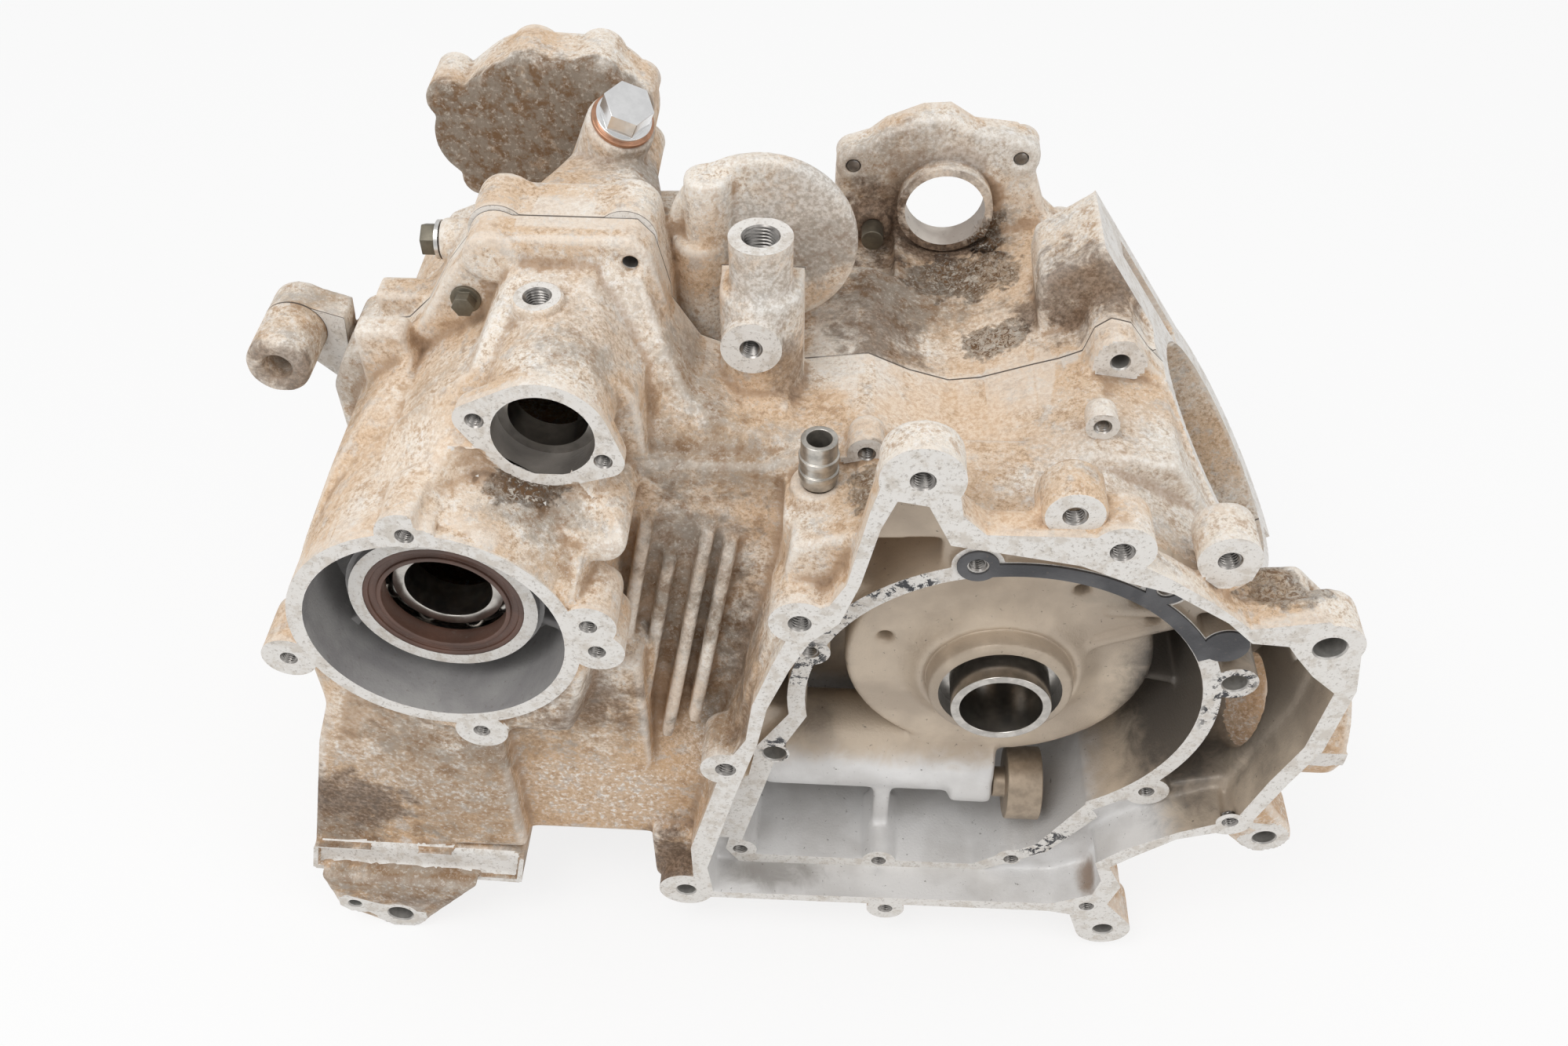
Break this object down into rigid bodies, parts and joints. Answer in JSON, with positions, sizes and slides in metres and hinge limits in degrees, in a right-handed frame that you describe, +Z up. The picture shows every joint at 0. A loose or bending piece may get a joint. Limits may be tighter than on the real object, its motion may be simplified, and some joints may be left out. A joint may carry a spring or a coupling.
{
  "type": "engine crankcase",
  "caption": "Split cast aluminium crankcase with a gearbox, belt-side and cylinder openings, stripped of its covers.",
  "frame": {"origin": "middle of the bounding box, on the floor that the case stands on", "axes": "+X along the case towards the cylinder, -Y the open belt side, +Z up as it stands"},
  "size_m": [0.468, 0.247, 0.3545],
  "materials": {
    "cast_front": "sand-cast, stained, machined joints",
    "cast_rear": "sand-cast, stained, machined joints",
    "dark_bolt": "dull zinc, aged",
    "washer": "plain",
    "bright_steel": "bright zinc",
    "copper": "soft copper",
    "pipe": "dull plated, brown inside",
    "seal": "brown oil-seal rubber",
    "bearing_steel": "ground, oily",
    "valve": "oily",
    "gasket": "torn dark gasket"
  },
  "bodies": {
    "case": {"front_case_half": "cast_front", "rear_case_half": "cast_rear", "case_bolt": "dark_bolt", "side_bolt": "dark_bolt", "side_washer": "washer", "filler_plug": "bright_steel", "filler_washer": "copper", "stud": "dark_bolt", "hose_pipe": "pipe", "output_seal": "seal", "output_bearing_outer": "bearing_steel", "idler_race": "bearing_steel", "front_main_bush": "bearing_steel", "rear_main_bush": "bearing_steel", "relief_valve": "valve", "gasket_remnant": "gasket", "case_dowels": "dark_bolt"},
    "crank_sleeve": {"crank_sleeve": "bearing_steel"},
    "output_inner": {"output_bearing_inner": "bearing_steel"},
    "output_ball_set": {"output_balls": "bearing_steel"}
  },
  "joints": [
    {"name": "crank_sleeve_spin", "type": "hinge", "parent": "case", "child": "crank_sleeve", "pos_m": [0.084, -0.0765, 0.17], "axis": [0, 1, 0], "continuous": true},
    {"name": "output_spin", "type": "hinge", "parent": "case", "child": "output_inner", "pos_m": [-0.142, -0.083, 0.223], "axis": [0, 1, 0], "continuous": true},
    {"name": "output_ball_spin", "type": "hinge", "parent": "case", "child": "output_ball_set", "pos_m": [-0.142, -0.083, 0.223], "axis": [0, 1, 0], "continuous": true}
  ],
  "couplings": [
    {"joint": "output_ball_spin", "follows": "output_spin", "ratio": 0.4}
  ]
}
